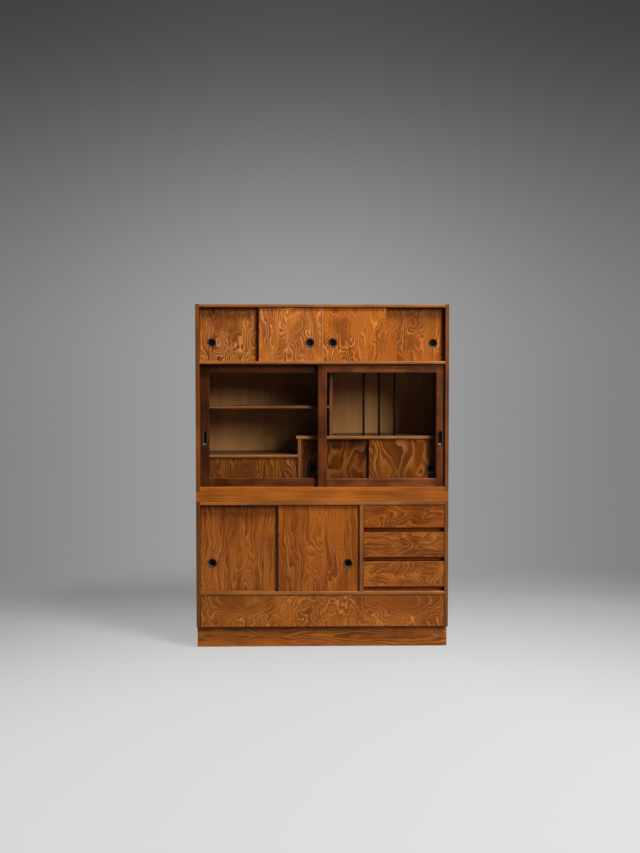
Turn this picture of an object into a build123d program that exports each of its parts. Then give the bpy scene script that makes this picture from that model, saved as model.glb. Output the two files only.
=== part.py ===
"""Two-part cupboard: panel doors and glazed sashes slide above, panel doors and drawers fill the lower case.

Millimetres. +Z is up, the front faces -Y, and the origin is on the floor under the middle of the case.
"""

import os

from build123d import *

# Overall case, from the floor up
WIDTH = 1210.0
DEPTH = 420.0
PLINTH_HEIGHT = 104.0
LONG_BAY = 154.0  # floor board and long drawer
DOOR_BAY = 416.0  # lower doors and small drawers
COUNTER_HEIGHT = 49.0
SASH_BAY = 588.0  # glazed sashes
TOP_BAY = 255.0  # top doors

# Board thicknesses
SIDE_T = 18.0
TOP_T = 15.0
MIDDLE_T = 15.0  # between the sashes and the top doors
BASE_T = 20.0  # bottom of the upper case
CEILING_T = 18.0  # top of the lower case
SILL_T = 18.0  # under the lower doors
FLOOR_T = 16.0  # bottom of the lower case
BAY_WALL_T = 18.0  # between the lower doors and the drawers
DIVIDER_T = 11.0  # between the two pairs of top doors
INNER_T = 17.0  # partition, upright and raised shelf behind the sashes
SHELF_T = 15.0
TRAY_T = 9.0
BACK_T = 4.0
BACK_RECESS = 1.0  # back panels lie this far inside the sides' back edges
COUNTER_T = 18.0
COUNTER_RAIL_T = 24.0
PLINTH_T = 18.0

# Places of the inner boards
BAY_WALL_X = 178.0  # left face
PARTITION_X = 35.0  # left face
UPRIGHT_X = -119.0  # left face
LEFT_SHELF_RISE = 374.5  # underside above the base board
STEP_RISE = 137.0  # underside of the step shelf above the base board
RAISED_RISE = 226.0  # underside of the raised shelf above the base board
RAISED_OVERHANG = 7.0
INNER_GAP = 7.0  # between the back sash groove and the inner boards
PLINTH_RECESS = 40.0
TRAY_COUNT = 3
TRAY_FIRST = 150.0  # from the partition to the first tray divider
TRAY_PITCH = 75.0
TRAY_DEPTH = 30.0
TRAY_SETBACK = 6.0

# Joints of the case
HOUSING = 6.0  # boards let into the sides
HOUSING_STOP = 12.0  # housings stop short of the front
TONGUE = 4.0  # uprights let into the boards above and below
BACK_RABBET = 9.0
COUNTER_TONGUE = 8.0
COUNTER_TONGUE_T = 6.0
EASE = 0.8  # small chamfer on worked edges
NOSING = 4.5  # rounding on the front edges of level boards

# Sliding tracks
PANEL_T = 16.0
SASH_T = 20.0
PANEL_LIP = 11.0  # from the front edge to the first groove
SASH_LIP = 13.0
INNER_LIP = 8.0
TRACK_PLAY = 0.5  # on each face of a door
TRACK_WEB = 4.0  # between the two grooves
HEAD_GROOVE = 7.0
HEAD_ENTRY = 4.0  # door inside the head groove
SILL_GROOVE = 3.0
RUN = 0.3  # running clearance under doors and drawers
END_PLAY = 0.5  # beside a closed door
PANEL_LAP = 16.0  # one door behind the other
INNER_LAP = 30.0

# Glazed sashes
STILE_W = 42.0
HEAD_RAIL_H = 45.0
FOOT_RAIL_H = 43.0
TENON_L = 28.0
TENON_T = 7.0
TENON_SHOULDER = 9.0
GLASS_T = 3.0
GLASS_PLAY = 0.4
GLASS_GROOVE = 8.0
SASH_BEVEL = 4.5  # round the pane, on the front

# Round cup pulls
PULL_MARGIN = 55.0  # from the door's edge
NEAR_PULL_MARGIN = 42.0  # on the third top door
TOP_PULL_RISE = 87.0  # above the board that the door stands on
INNER_PULL_RISE = 82.5
LOWER_PULL_RISE = 133.0
CUP_R = 22.5
CUP_WELL_R = 14.5
CUP_DEPTH = 10.0
CUP_FLOOR = 1.2
CUP_PLAY = 0.3
RIM_PROUD = 1.2

# Long flush pulls of the sashes
FLUSH_W = 26.0
FLUSH_H = 78.0
FLUSH_FLANGE = 3.0
FLUSH_DEPTH = 10.0
FLUSH_WALL = 1.5
FLUSH_TAPER = 14.0  # degrees, sides of the finger hollow
FLUSH_RISE = 235.0  # middle above the base board

# Drawers
FRONT_T = 18.0
FRONT_SETBACK = 3.0
STEP_SETBACK = 8.0
FRONT_PLAY = 1.5
FINGER_GAP = 22.5  # under a small drawer's front
FINGER_ROOM = 13.0  # behind it
TOP_FRONT_LESS = 13.0  # the upper small drawer is this much shallower than the other two
LIP = 12.0  # front hangs below the box
GRIP = 7.0  # bevel on the inner lower edge of a front
HEADROOM = 12.0
BOX_SIDE_T = 11.0
BOX_PLAY = 1.5
BOX_BOTTOM_T = 4.0
BOX_BOTTOM_RISE = 6.0
BOX_DADO = 5.0
BOX_BACK_INSET = 10.0
BOX_LENGTH = 352.0
STEP_BOX_LENGTH = 300.0
RAIL_T = 18.0
RUNNER_W = 16.0
RUNNER_H = 14.0

# Levels and faces that follow from the sizes above
Z_SILL_UNDER = PLINTH_HEIGHT + LONG_BAY
Z_SILL = Z_SILL_UNDER + SILL_T
Z_CEILING = Z_SILL + DOOR_BAY
Z_COUNTER = Z_CEILING + CEILING_T
Z_UPPER = Z_COUNTER + COUNTER_HEIGHT
Z_BASE = Z_UPPER + BASE_T
Z_MIDDLE = Z_BASE + SASH_BAY
Z_TOP_BAY = Z_MIDDLE + MIDDLE_T
Z_TOP = Z_TOP_BAY + TOP_BAY
HEIGHT = Z_TOP + TOP_T
Z_LEFT_SHELF = Z_BASE + LEFT_SHELF_RISE
Z_STEP = Z_BASE + STEP_RISE
Z_RAISED = Z_BASE + RAISED_RISE
Z_RAISED_TOP = Z_RAISED + INNER_T

X_OUT = WIDTH / 2
X_IN = X_OUT - SIDE_T
PARTITION_RIGHT = PARTITION_X + INNER_T
UPRIGHT_RIGHT = UPRIGHT_X + INNER_T
BAY_X = BAY_WALL_X + BAY_WALL_T

FRONT = -DEPTH / 2
BACK = DEPTH / 2
BACK_FACE = BACK - BACK_RECESS - BACK_T


def track_slots(lip, thickness):
    """Front and back groove of a two-way track, each as its start and end along Y."""
    slot = thickness + 2 * TRACK_PLAY
    back = lip + slot + TRACK_WEB
    return (lip, lip + slot), (back, back + slot)


PANEL_TRACK = track_slots(FRONT + PANEL_LIP, PANEL_T)
SASH_TRACK = track_slots(FRONT + SASH_LIP, SASH_T)
INNER_FRONT = SASH_TRACK[1][1] + INNER_GAP
INNER_TRACK = track_slots(INNER_FRONT + INNER_LIP, PANEL_T)
TRAY_FRONT = INNER_FRONT + TRAY_SETBACK
SMALL_FRONT_H = (DOOR_BAY - 3 * FINGER_GAP - FRONT_PLAY + TOP_FRONT_LESS) / 3
BEHIND_PANELS = PANEL_TRACK[1][1] + INNER_GAP
BEHIND_INNER = INNER_TRACK[1][1] + INNER_GAP
DRAWER_FACE = FRONT + FRONT_SETBACK
STEP_FACE = INNER_FRONT + STEP_SETBACK


def front_plane(y):
    """Upright plane seen from the front: sketch x is X and sketch y is Z."""
    return Plane(origin=(0, y, 0), x_dir=(1, 0, 0), z_dir=(0, -1, 0))


def level(z):
    """Horizontal plane: sketch x is X and sketch y is Y."""
    return Plane.XY.offset(z)


def rect(a0, a1, b0, b1):
    """Adds a rectangle to the open sketch by its edges."""
    with Locations(((a0 + a1) / 2, (b0 + b1) / 2)):
        Rectangle(a1 - a0, b1 - b0)


def block(plane, a0, a1, b0, b1, amount, mode=Mode.ADD):
    """Adds or cuts a squared length in the open part: a rectangle on a plane, extruded along its normal."""
    with BuildSketch(plane) as outline:
        rect(a0, a1, b0, b1)
    extrude(outline.sketch, amount=amount, mode=mode)


def cut(plane, a0, a1, b0, b1, amount):
    block(plane, a0, a1, b0, b1, amount, Mode.SUBTRACT)


def cut_bevel(plane, corner, first, second, amount):
    """Cuts a bevel in the open part: a triangle on a plane, extruded along the plane's normal."""
    with BuildSketch(plane) as outline:
        with BuildLine():
            Polyline(corner, first, second, close=True)
        make_face()
    extrude(outline.sketch, amount=amount, mode=Mode.SUBTRACT)


def cut_tracks(z, amount, x0, x1, slots):
    """Cuts the two grooves of a sliding track into the open part, up or down from level z."""
    for y0, y1 in slots:
        cut(level(z), x0, x1, y0, y1, amount)


def ease_front(part, along):
    """Takes the sharpness off the front edges that run along one axis."""
    chamfer(part.edges().filter_by(along).group_by(Axis.Y)[0], EASE)


def round_nose(board):
    """Rounds both front edges of a level board."""
    fillet(board.edges().filter_by(Axis.X).group_by(Axis.Y)[0], NOSING)


def save(label, *solids):
    """Writes one named piece, or a group of like pieces, as one STEP file."""
    shape = solids[0] if len(solids) == 1 else Compound(children=list(solids))
    shape.label = label
    export_step(shape, f"parts/{label}.step")


# Case boards

def case_side(right, z0, z1, rabbet_top, housings):
    """Side board with stopped housings for the boards it carries and a rabbet for the back panel."""
    with BuildPart() as side:
        block(Plane.YZ.offset(-X_OUT), FRONT, BACK, z0, z1, SIDE_T)
        ease_front(side, Axis.Z)
        cut(Plane.YZ.offset(-X_IN), BACK_FACE, BACK, z0, rabbet_top, -BACK_RABBET)
        for y0, y1, low, thickness in housings:
            cut(Plane.YZ.offset(-X_IN), y0, y1, low, low + thickness, -HOUSING)
        if right:
            mirror(about=Plane.YZ, mode=Mode.REPLACE)
    return side.part


def housed_outline(x0, x1, y0, y1, left=True, right=True, back_stop=0.0):
    """Sketch of a board with tongues at its ends, stopped short of the front."""
    rect(x0, x1, y0, y1)
    if left:
        rect(x0 - HOUSING, x0, y0 + HOUSING_STOP, y1 - back_stop)
    if right:
        rect(x1, x1 + HOUSING, y0 + HOUSING_STOP, y1 - back_stop)


def upright_board(x0, thickness, y0, z0, z1, tongue_y):
    """Upright with a tongue above and below, both behind any sliding track."""
    with BuildPart() as upright:
        block(Plane.YZ.offset(x0), y0, BACK_FACE, z0, z1, thickness)
        ease_front(upright, Axis.Z)
        block(Plane.YZ.offset(x0), tongue_y, BACK_FACE, z0 - TONGUE, z1 + TONGUE, thickness)
    return upright.part


def back_panel(z0, z1):
    with BuildPart() as panel:
        block(front_plane(BACK_FACE), -X_IN - BACK_RABBET, X_IN + BACK_RABBET, z0, z1, -BACK_T)
    return panel.part


def upper_case():
    through = (FRONT + HOUSING_STOP, BACK - HOUSING_STOP)
    stopped = (FRONT + HOUSING_STOP, BACK_FACE)
    inner = (INNER_FRONT + HOUSING_STOP, BACK_FACE)
    shared = [(*through, Z_TOP, TOP_T), (*stopped, Z_MIDDLE, MIDDLE_T), (*stopped, Z_UPPER, BASE_T)]
    shelves = [(*inner, Z_LEFT_SHELF, SHELF_T), (*inner, Z_STEP, SHELF_T)]
    raised = [(*inner, Z_RAISED, INNER_T)]
    save("upper_left_side", case_side(False, Z_UPPER, HEIGHT, Z_TOP, shared + shelves))
    save("upper_right_side", case_side(True, Z_UPPER, HEIGHT, Z_TOP, shared + raised))
    save("upper_back_panel", back_panel(Z_UPPER, Z_TOP))
    half = DIVIDER_T / 2

    with BuildPart() as top_board:
        with BuildSketch(level(Z_TOP)):
            housed_outline(-X_IN, X_IN, FRONT, BACK, back_stop=HOUSING_STOP)
        extrude(amount=TOP_T)
        round_nose(top_board)
        cut_tracks(Z_TOP, HEAD_GROOVE, -X_IN, -half, PANEL_TRACK)
        cut_tracks(Z_TOP, HEAD_GROOVE, half, X_IN, PANEL_TRACK)
        cut(level(Z_TOP), -half, half, BEHIND_PANELS, BACK_FACE, TONGUE)
    save("upper_top_board", top_board.part)

    with BuildPart() as middle_board:
        with BuildSketch(level(Z_MIDDLE)):
            housed_outline(-X_IN, X_IN, FRONT, BACK_FACE)
        extrude(amount=MIDDLE_T)
        round_nose(middle_board)
        cut_tracks(Z_TOP_BAY, -SILL_GROOVE, -X_IN, -half, PANEL_TRACK)
        cut_tracks(Z_TOP_BAY, -SILL_GROOVE, half, X_IN, PANEL_TRACK)
        cut(level(Z_TOP_BAY), -half, half, BEHIND_PANELS, BACK_FACE, -TONGUE)
        cut_tracks(Z_MIDDLE, HEAD_GROOVE, -X_IN, X_IN, SASH_TRACK)
        cut(level(Z_MIDDLE), PARTITION_X, PARTITION_RIGHT, BEHIND_INNER, BACK_FACE, TONGUE)
        cut_tray_slots(Z_MIDDLE, TONGUE)
    save("upper_middle_board", middle_board.part)

    with BuildPart() as base_board:
        with BuildSketch(level(Z_UPPER)):
            housed_outline(-X_IN, X_IN, FRONT, BACK_FACE)
        extrude(amount=BASE_T)
        ease_front(base_board, Axis.X)
        cut_tracks(Z_BASE, -SILL_GROOVE, -X_IN, X_IN, SASH_TRACK)
        cut_tracks(Z_BASE, -SILL_GROOVE, UPRIGHT_RIGHT, X_IN, INNER_TRACK)
        cut(level(Z_BASE), UPRIGHT_X, UPRIGHT_RIGHT, BEHIND_INNER, BACK_FACE, -TONGUE)
    save("upper_base_board", base_board.part)

    save("top_divider", upright_board(-half, DIVIDER_T, FRONT, Z_TOP_BAY, Z_TOP, BEHIND_PANELS))


# Boards behind the sashes

def tray_centres():
    return [PARTITION_RIGHT + TRAY_FIRST + n * TRAY_PITCH for n in range(TRAY_COUNT)]


def cut_tray_slots(z, amount):
    for x in tray_centres():
        cut(level(z), x - TRAY_T / 2, x + TRAY_T / 2, TRAY_FRONT, TRAY_FRONT + TRAY_DEPTH, amount)


def inner_boards():
    with BuildPart() as partition:
        block(Plane.YZ.offset(PARTITION_X), INNER_FRONT, BACK_FACE, Z_RAISED_TOP, Z_MIDDLE, INNER_T)
        ease_front(partition, Axis.Z)
        for z0, z1 in ((Z_RAISED_TOP - TONGUE, Z_RAISED_TOP), (Z_MIDDLE, Z_MIDDLE + TONGUE)):
            block(Plane.YZ.offset(PARTITION_X), BEHIND_INNER, BACK_FACE, z0, z1, INNER_T)
        cut(Plane.YZ.offset(PARTITION_X), INNER_FRONT + HOUSING_STOP, BACK_FACE,
            Z_LEFT_SHELF, Z_LEFT_SHELF + SHELF_T, HOUSING)
    save("centre_partition", partition.part)

    with BuildPart() as step_upright:
        block(Plane.YZ.offset(UPRIGHT_X), INNER_FRONT, BACK_FACE, Z_BASE, Z_RAISED, INNER_T)
        ease_front(step_upright, Axis.Z)
        for z0, z1 in ((Z_BASE - TONGUE, Z_BASE), (Z_RAISED, Z_RAISED + TONGUE)):
            block(Plane.YZ.offset(UPRIGHT_X), BEHIND_INNER, BACK_FACE, z0, z1, INNER_T)
        cut(Plane.YZ.offset(UPRIGHT_X), INNER_FRONT + HOUSING_STOP, BACK_FACE,
            Z_STEP, Z_STEP + SHELF_T, HOUSING)
    save("step_upright", step_upright.part)

    for label, x1, z in (("left_shelf", PARTITION_X, Z_LEFT_SHELF), ("step_shelf", UPRIGHT_X, Z_STEP)):
        with BuildPart() as shelf:
            with BuildSketch(level(z)):
                housed_outline(-X_IN, x1, INNER_FRONT, BACK_FACE)
            extrude(amount=SHELF_T)
            round_nose(shelf)
        save(label, shelf.part)

    with BuildPart() as raised_shelf:
        with BuildSketch(level(Z_RAISED)):
            housed_outline(UPRIGHT_X - RAISED_OVERHANG, X_IN, INNER_FRONT, BACK_FACE, left=False)
        extrude(amount=INNER_T)
        round_nose(raised_shelf)
        cut_tracks(Z_RAISED, HEAD_GROOVE, UPRIGHT_RIGHT, X_IN, INNER_TRACK)
        cut(level(Z_RAISED), UPRIGHT_X, UPRIGHT_RIGHT, BEHIND_INNER, BACK_FACE, TONGUE)
        cut(level(Z_RAISED_TOP), PARTITION_X, PARTITION_RIGHT, BEHIND_INNER, BACK_FACE, -TONGUE)
        cut_tray_slots(Z_RAISED_TOP, -TONGUE)
    save("raised_shelf", raised_shelf.part)

    with BuildPart() as tray_dividers:
        for x in tray_centres():
            block(Plane.YZ.offset(x - TRAY_T / 2), TRAY_FRONT, TRAY_FRONT + TRAY_DEPTH,
                  Z_RAISED_TOP - TONGUE, Z_MIDDLE + TONGUE, TRAY_T)
    save("tray_dividers", tray_dividers.part)


# Lower case, counter and plinth

def lower_case():
    through = (FRONT + HOUSING_STOP, BACK - HOUSING_STOP)
    stopped = (FRONT + HOUSING_STOP, BACK_FACE)
    floor = (FRONT + PLINTH_RECESS + HOUSING_STOP, BACK_FACE)
    housings = [(*through, Z_CEILING, CEILING_T), (*stopped, Z_SILL_UNDER, SILL_T),
                (*floor, PLINTH_HEIGHT, FLOOR_T)]
    for right, label in ((False, "lower_left_side"), (True, "lower_right_side")):
        save(label, case_side(right, PLINTH_HEIGHT, Z_COUNTER, Z_CEILING, housings))
    save("lower_back_panel", back_panel(PLINTH_HEIGHT, Z_CEILING))

    with BuildPart() as ceiling:
        with BuildSketch(level(Z_CEILING)):
            housed_outline(-X_IN, X_IN, FRONT, BACK, back_stop=HOUSING_STOP)
        extrude(amount=CEILING_T)
        round_nose(ceiling)
        cut_tracks(Z_CEILING, HEAD_GROOVE, -X_IN, BAY_WALL_X, PANEL_TRACK)
        cut(level(Z_CEILING), BAY_WALL_X, BAY_X, BEHIND_PANELS, BACK_FACE, TONGUE)
    save("lower_top_board", ceiling.part)

    with BuildPart() as sill:
        with BuildSketch(level(Z_SILL_UNDER)):
            housed_outline(-X_IN, X_IN, FRONT, BACK_FACE)
        extrude(amount=SILL_T)
        round_nose(sill)
        cut_tracks(Z_SILL, -SILL_GROOVE, -X_IN, BAY_WALL_X, PANEL_TRACK)
        cut(level(Z_SILL), BAY_WALL_X, BAY_X, BEHIND_PANELS, BACK_FACE, -TONGUE)
    save("lower_sill", sill.part)

    with BuildPart() as floor_board:
        with BuildSketch(level(PLINTH_HEIGHT)):
            housed_outline(-X_IN, X_IN, FRONT + PLINTH_RECESS, BACK_FACE)
        extrude(amount=FLOOR_T)
    save("lower_floor_board", floor_board.part)

    save("drawer_partition", upright_board(BAY_WALL_X, BAY_WALL_T, FRONT, Z_SILL, Z_CEILING, BEHIND_PANELS))


def counter():
    rail_back = FRONT + COUNTER_RAIL_T
    board_under = Z_UPPER - COUNTER_T
    tongue_low = board_under + (COUNTER_T - COUNTER_TONGUE_T) / 2
    tongue_high = tongue_low + COUNTER_TONGUE_T

    with BuildPart() as rail:
        block(front_plane(FRONT), -X_OUT, X_OUT, Z_COUNTER, Z_UPPER, -COUNTER_RAIL_T)
        ease_front(rail, Axis.X)
        cut(front_plane(rail_back), -X_IN, X_IN, tongue_low, tongue_high, COUNTER_TONGUE)
    save("counter_front_rail", rail.part)

    with BuildPart() as board:
        block(level(board_under), -X_OUT, X_OUT, rail_back, BACK, COUNTER_T)
        block(front_plane(rail_back), -X_IN, X_IN, tongue_low, tongue_high, COUNTER_TONGUE)
    save("counter_top", board.part)

    bearers = []
    for x0, x1, y0 in ((-X_OUT, -X_IN, rail_back), (X_IN, X_OUT, rail_back), (-X_IN, X_IN, BACK - SIDE_T)):
        with BuildPart() as bearer:
            block(level(Z_COUNTER), x0, x1, y0, BACK, board_under - Z_COUNTER)
        bearers.append(bearer.part)
    save("counter_bearers", *bearers)


def plinth():
    face = FRONT + PLINTH_RECESS
    inner = X_OUT - PLINTH_T
    with BuildPart() as plinth_front:
        block(front_plane(face), -X_OUT, X_OUT, 0, PLINTH_HEIGHT, -PLINTH_T)
        ease_front(plinth_front, Axis.X)
    save("plinth_front", plinth_front.part)

    returns = []
    behind = face + PLINTH_T
    for x0, x1, y0 in ((-X_OUT, -inner, behind), (inner, X_OUT, behind), (-inner, inner, BACK - PLINTH_T)):
        with BuildPart() as plinth_return:
            block(level(0), x0, x1, y0, BACK, PLINTH_HEIGHT)
        returns.append(plinth_return.part)
    save("plinth_returns", *returns)


# Sliding panel doors and their cup pulls

def door_pair(x0, x1, lap):
    """Left edges, width and travel of two doors that close an opening, one behind the other."""
    clear = x1 - x0 - 2 * END_PLAY
    width = (clear + lap) / 2
    return x0 + END_PLAY, x1 - END_PLAY - width, width, clear - width


def panel_door(x0, width, slot, z0, z1, pull_x, pull_z):
    """Flat panel that stands in its sill groove and reaches into its head groove, bored for a cup pull."""
    face = slot[0] + TRACK_PLAY
    with BuildPart() as door:
        block(front_plane(face), x0, x0 + width, z0 - SILL_GROOVE + RUN, z1 + HEAD_ENTRY, -PANEL_T)
        chamfer(door.faces().sort_by(Axis.Y)[0].edges(), EASE)
        with BuildSketch(front_plane(face)):
            with Locations((pull_x, pull_z)):
                Circle(CUP_R + CUP_PLAY)
        extrude(amount=-CUP_DEPTH - CUP_PLAY, mode=Mode.SUBTRACT)
    return door.part


def cup_pull(x, face, z):
    """Turned cup let into a door: a broad flat rim, just proud of the face, round a finger well."""
    section = Plane(origin=(x, face, z), x_dir=(1, 0, 0), z_dir=(0, 0, 1))
    with BuildPart() as cup:
        with BuildSketch(section):
            with BuildLine():
                Polyline(
                    (0, CUP_DEPTH), (CUP_R, CUP_DEPTH), (CUP_R, -RIM_PROUD), (CUP_WELL_R, -RIM_PROUD),
                    (CUP_WELL_R, CUP_DEPTH - CUP_FLOOR), (0, CUP_DEPTH - CUP_FLOOR),
                    close=True,
                )
            make_face()
        revolve(axis=Axis(section.origin, (0, 1, 0)))
    return cup.part


def hung_pair(labels, x0, x1, lap, track, left_slot, z0, z1, rise, left_margin=PULL_MARGIN):
    """Two panel doors in one opening, each with its pull beside the edge that meets the case."""
    left_x, right_x, width, _ = door_pair(x0, x1, lap)
    places = ((left_x, left_x + left_margin, left_slot),
              (right_x, right_x + width - PULL_MARGIN, 1 - left_slot))
    for label, (door_x, pull_x, slot) in zip(labels, places):
        face = track[slot][0] + TRACK_PLAY
        save(f"{label}_panel", panel_door(door_x, width, track[slot], z0, z1, pull_x, z0 + rise))
        save(f"{label}_pull", cup_pull(pull_x, face, z0 + rise))


def panel_doors():
    half = DIVIDER_T / 2
    hung_pair(("top_door_1", "top_door_2"), -X_IN, -half, PANEL_LAP, PANEL_TRACK, 1,
              Z_TOP_BAY, Z_TOP, TOP_PULL_RISE)
    hung_pair(("top_door_3", "top_door_4"), half, X_IN, PANEL_LAP, PANEL_TRACK, 0,
              Z_TOP_BAY, Z_TOP, TOP_PULL_RISE, NEAR_PULL_MARGIN)
    hung_pair(("inner_door_left", "inner_door_right"), UPRIGHT_RIGHT, X_IN, INNER_LAP, INNER_TRACK, 1,
              Z_BASE, Z_RAISED, INNER_PULL_RISE)
    hung_pair(("lower_door_left", "lower_door_right"), -X_IN, BAY_WALL_X, PANEL_LAP, PANEL_TRACK, 1,
              Z_SILL, Z_CEILING, LOWER_PULL_RISE)


# Glazed sashes

def sash(label, x0, width, slot, pull_on_left):
    """Mortised stiles, tenoned rails, a pane held in their grooves and a flush pull."""
    face = slot[0] + TRACK_PLAY
    middle = face + SASH_T / 2
    z0 = Z_BASE - SILL_GROOVE + RUN
    z1 = Z_MIDDLE + HEAD_ENTRY
    left_inner = x0 + STILE_W
    right_inner = x0 + width - STILE_W
    foot_top = z0 + FOOT_RAIL_H
    head_under = z1 - HEAD_RAIL_H
    groove = (middle - GLASS_T / 2 - GLASS_PLAY, middle + GLASS_T / 2 + GLASS_PLAY)
    tenon_y = (middle - TENON_T / 2, middle + TENON_T / 2)
    tenons = ((z0 + TENON_SHOULDER, foot_top - TENON_SHOULDER),
              (head_under + TENON_SHOULDER, z1 - TENON_SHOULDER))
    pull_x = x0 + STILE_W / 2 if pull_on_left else x0 + width - STILE_W / 2
    pull_z = Z_BASE + FLUSH_RISE

    stiles = []
    for stile_x, inner, inward, has_pull in ((x0, left_inner, 1, pull_on_left),
                                            (right_inner, right_inner, -1, not pull_on_left)):
        with BuildPart() as stile:
            block(front_plane(face), stile_x, stile_x + STILE_W, z0, z1, -SASH_T)
            ease_front(stile, Axis.Z)
            cut_bevel(level(foot_top), (inner, face), (inner - inward * SASH_BEVEL, face),
                      (inner, face + SASH_BEVEL), head_under - foot_top)
            cut(Plane.YZ.offset(inner), *groove, foot_top - GLASS_GROOVE, head_under + GLASS_GROOVE,
                -inward * GLASS_GROOVE)
            for low, high in tenons:
                cut(Plane.YZ.offset(inner), *tenon_y, low, high, -inward * TENON_L)
            if has_pull:
                cut(front_plane(face), *flush_body(pull_x, FLUSH_W, CUP_PLAY),
                    *flush_body(pull_z, FLUSH_H, CUP_PLAY), -FLUSH_DEPTH - CUP_PLAY)
        stiles.append(stile.part)
    save(f"{label}_stiles", *stiles)

    rails = []
    for low, high, edge, inward in ((z0, foot_top, foot_top, -1), (head_under, z1, head_under, 1)):
        with BuildPart() as rail:
            block(front_plane(face), left_inner, right_inner, low, high, -SASH_T)
            ease_front(rail, Axis.X)
            cut_bevel(Plane.YZ.offset(left_inner), (face, edge), (face, edge + inward * SASH_BEVEL),
                      (face + SASH_BEVEL, edge), right_inner - left_inner)
            block(front_plane(tenon_y[0]), left_inner - TENON_L, right_inner + TENON_L,
                  low + TENON_SHOULDER, high - TENON_SHOULDER, -TENON_T)
            cut(level(edge), left_inner, right_inner, *groove, inward * GLASS_GROOVE)
        rails.append(rail.part)
    save(f"{label}_rails", *rails)

    edge = GLASS_GROOVE - GLASS_PLAY
    with BuildPart() as pane:
        block(front_plane(middle - GLASS_T / 2), left_inner - edge, right_inner + edge,
              foot_top - edge, head_under + edge, -GLASS_T)
    save(f"{label}_pane", pane.part)
    save(f"{label}_pull", flush_pull(pull_x, face, pull_z))


def flush_body(centre, size, play=0.0):
    """Low and high edge of the flush pull's body, inside its flange."""
    half = size / 2 - FLUSH_FLANGE + play
    return centre - half, centre + half


def flush_pull(x, face, z):
    """Sheet-metal pull let into a stile: a flange round a hollow with sloping sides."""
    with BuildPart() as pull:
        block(front_plane(face), x - FLUSH_W / 2, x + FLUSH_W / 2, z - FLUSH_H / 2, z + FLUSH_H / 2,
              RIM_PROUD)
        chamfer(pull.faces().sort_by(Axis.Y)[0].edges(), RIM_PROUD / 2)
        block(front_plane(face), *flush_body(x, FLUSH_W), *flush_body(z, FLUSH_H), -FLUSH_DEPTH)
        with BuildSketch(front_plane(face - RIM_PROUD)):
            rect(*flush_body(x, FLUSH_W, -FLUSH_WALL), *flush_body(z, FLUSH_H, -FLUSH_WALL))
        extrude(amount=FLUSH_WALL - FLUSH_DEPTH - RIM_PROUD, taper=FLUSH_TAPER, mode=Mode.SUBTRACT)
    return pull.part


def sashes():
    left_x, right_x, width, _ = door_pair(-X_IN, X_IN, STILE_W)
    sash("left_sash", left_x, width, SASH_TRACK[1], True)
    sash("right_sash", right_x, width, SASH_TRACK[0], False)


# Drawers

def drawer(label, x0, x1, face, z0, z1, box_z, length):
    """Front with a finger grip under it, and a box of two sides, a back and a let-in bottom."""
    front_back = face + FRONT_T
    rear = front_back + length
    box_top = z1 - HEADROOM
    left, right = x0 + BOX_PLAY, x1 - BOX_PLAY
    inner_left, inner_right = left + BOX_SIDE_T, right - BOX_SIDE_T
    bottom_z = box_z + BOX_BOTTOM_RISE
    bottom_top = bottom_z + BOX_BOTTOM_T
    back_y = (rear - BOX_BACK_INSET - BOX_SIDE_T, rear - BOX_BACK_INSET)

    with BuildPart() as front:
        block(front_plane(face), x0 + FRONT_PLAY, x1 - FRONT_PLAY, z0, z1, -FRONT_T)
        chamfer(front.faces().sort_by(Axis.Y)[0].edges(), EASE)
        chamfer(front.faces().sort_by(Axis.Y)[-1].edges().sort_by(Axis.Z)[0], GRIP)
        for side_x in (left, inner_right):
            cut(front_plane(front_back), side_x, side_x + BOX_SIDE_T, box_z, box_top, BOX_DADO)
        cut(front_plane(front_back), inner_left, inner_right, bottom_z, bottom_top, BOX_DADO)
    save(f"{label}_front", front.part)

    box = []
    for side_x, inner, outward in ((left, inner_left, -1), (inner_right, inner_right, 1)):
        with BuildPart() as side:
            block(Plane.YZ.offset(side_x), front_back - BOX_DADO, rear, box_z, box_top, BOX_SIDE_T)
            cut(Plane.YZ.offset(inner), front_back - BOX_DADO, rear, bottom_z, bottom_top, outward * BOX_DADO)
            cut(Plane.YZ.offset(inner), *back_y, bottom_top, box_top, outward * BOX_DADO)
        box.append(side.part)
    with BuildPart() as back:
        block(front_plane(back_y[0]), inner_left - BOX_DADO, inner_right + BOX_DADO, bottom_top, box_top,
              -BOX_SIDE_T)
    with BuildPart() as bottom:
        block(level(bottom_z), inner_left - BOX_DADO, inner_right + BOX_DADO, front_back - BOX_DADO, rear,
              BOX_BOTTOM_T)
    save(f"{label}_box", *box, back.part, bottom.part)


def runner_set(x0, x1, face, z0, top):
    """Front rail and two side runners that carry one drawer box."""
    rail_y = face + FRONT_T + FINGER_ROOM
    with BuildPart() as rail:
        block(front_plane(rail_y), x0, x1, z0, top, -RAIL_T)
    pieces = [rail.part]
    for runner_x in (x0, x1 - RUNNER_W):
        with BuildPart() as runner:
            block(level(top), runner_x, runner_x + RUNNER_W, rail_y + RAIL_T, BACK_FACE, -RUNNER_H)
        pieces.append(runner.part)
    return pieces


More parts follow.
